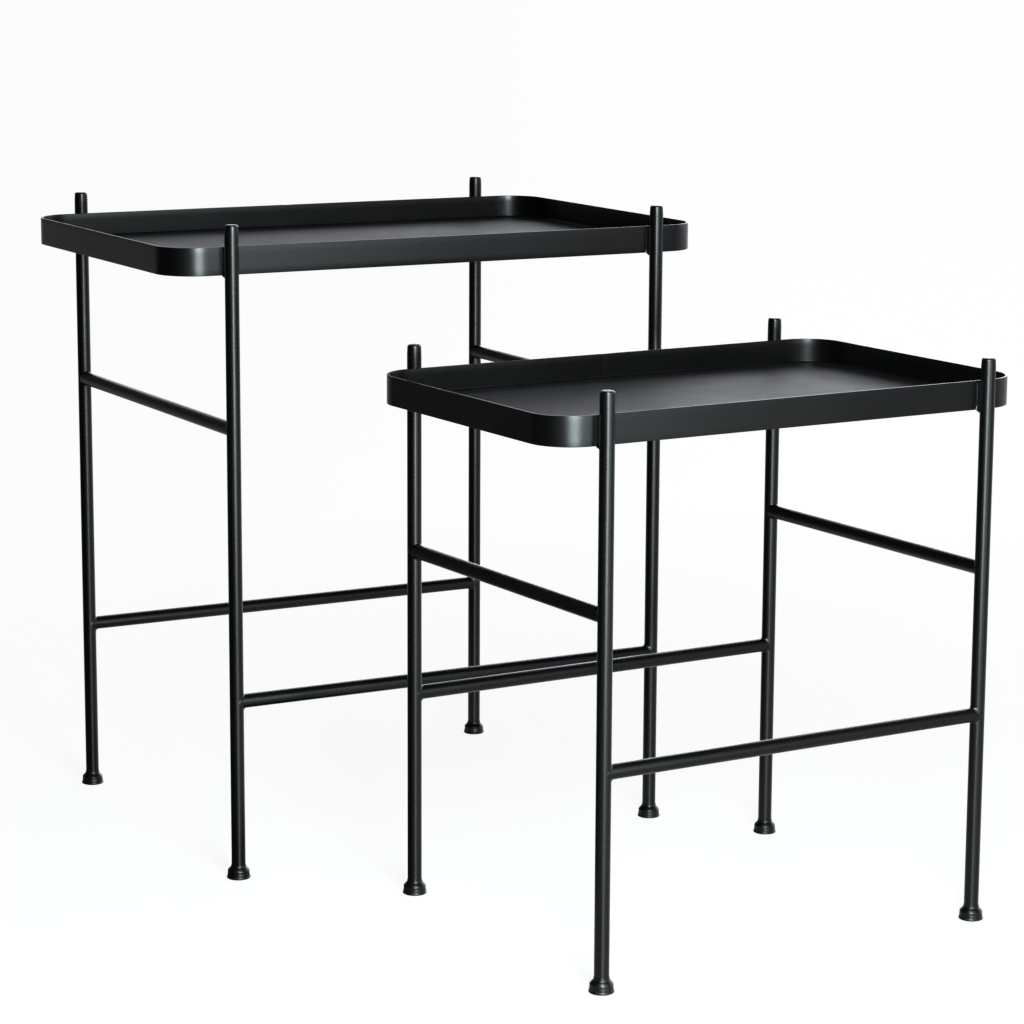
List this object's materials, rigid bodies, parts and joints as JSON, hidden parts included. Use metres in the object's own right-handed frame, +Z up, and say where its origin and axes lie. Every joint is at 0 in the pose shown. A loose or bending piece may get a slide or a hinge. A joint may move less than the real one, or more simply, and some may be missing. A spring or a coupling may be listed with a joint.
{
  "type": "nesting tables",
  "caption": "Nesting tray tables in black coated steel: shallow round-cornered trays on slim tube legs with cross rails and rubber feet; the lower table slides in front of the taller.",
  "frame": {"origin": "on the floor, at the centre of the box that holds both tables", "axes": "+Z up, X along the large table's long side, +Y from the small table's front towards the large table's back"},
  "size_m": [0.6228, 0.8176, 0.6],
  "materials": {
    "tray_coat": "satin black powder coat",
    "frame_coat": "satin black powder coat",
    "foot_rubber": "smooth black rubber"
  },
  "bodies": {
    "large_table": {"large_tray_rim": "tray_coat", "large_tray_floor": "tray_coat", "large_seam_weld": "tray_coat", "large_floor_welds": "tray_coat", "large_leg_welds": "frame_coat", "large_rail_welds": "frame_coat", "large_leg_front_left": "frame_coat", "large_leg_front_right": "frame_coat", "large_leg_back_left": "frame_coat", "large_leg_back_right": "frame_coat", "large_leg_plug_front_left": "frame_coat", "large_leg_plug_front_right": "frame_coat", "large_leg_plug_back_left": "frame_coat", "large_leg_plug_back_right": "frame_coat", "large_foot_front_left": "foot_rubber", "large_foot_front_right": "foot_rubber", "large_foot_back_left": "foot_rubber", "large_foot_back_right": "foot_rubber", "large_rail_front": "frame_coat", "large_rail_back": "frame_coat", "large_rail_left": "frame_coat", "large_rail_right": "frame_coat"},
    "small_table": {"small_tray_rim": "tray_coat", "small_tray_floor": "tray_coat", "small_seam_weld": "tray_coat", "small_floor_welds": "tray_coat", "small_leg_welds": "frame_coat", "small_rail_welds": "frame_coat", "small_leg_front_left": "frame_coat", "small_leg_front_right": "frame_coat", "small_leg_back_left": "frame_coat", "small_leg_back_right": "frame_coat", "small_leg_plug_front_left": "frame_coat", "small_leg_plug_front_right": "frame_coat", "small_leg_plug_back_left": "frame_coat", "small_leg_plug_back_right": "frame_coat", "small_foot_front_left": "foot_rubber", "small_foot_front_right": "foot_rubber", "small_foot_back_left": "foot_rubber", "small_foot_back_right": "foot_rubber", "small_rail_front": "frame_coat", "small_rail_back": "frame_coat", "small_rail_left": "frame_coat", "small_rail_right": "frame_coat"}
  },
  "joints": [
    {"name": "small_table_slide", "type": "slide", "parent": "large_table", "child": "small_table", "axis": [0, 1, 0], "range_m": [-0.3, 0.088]}
  ]
}
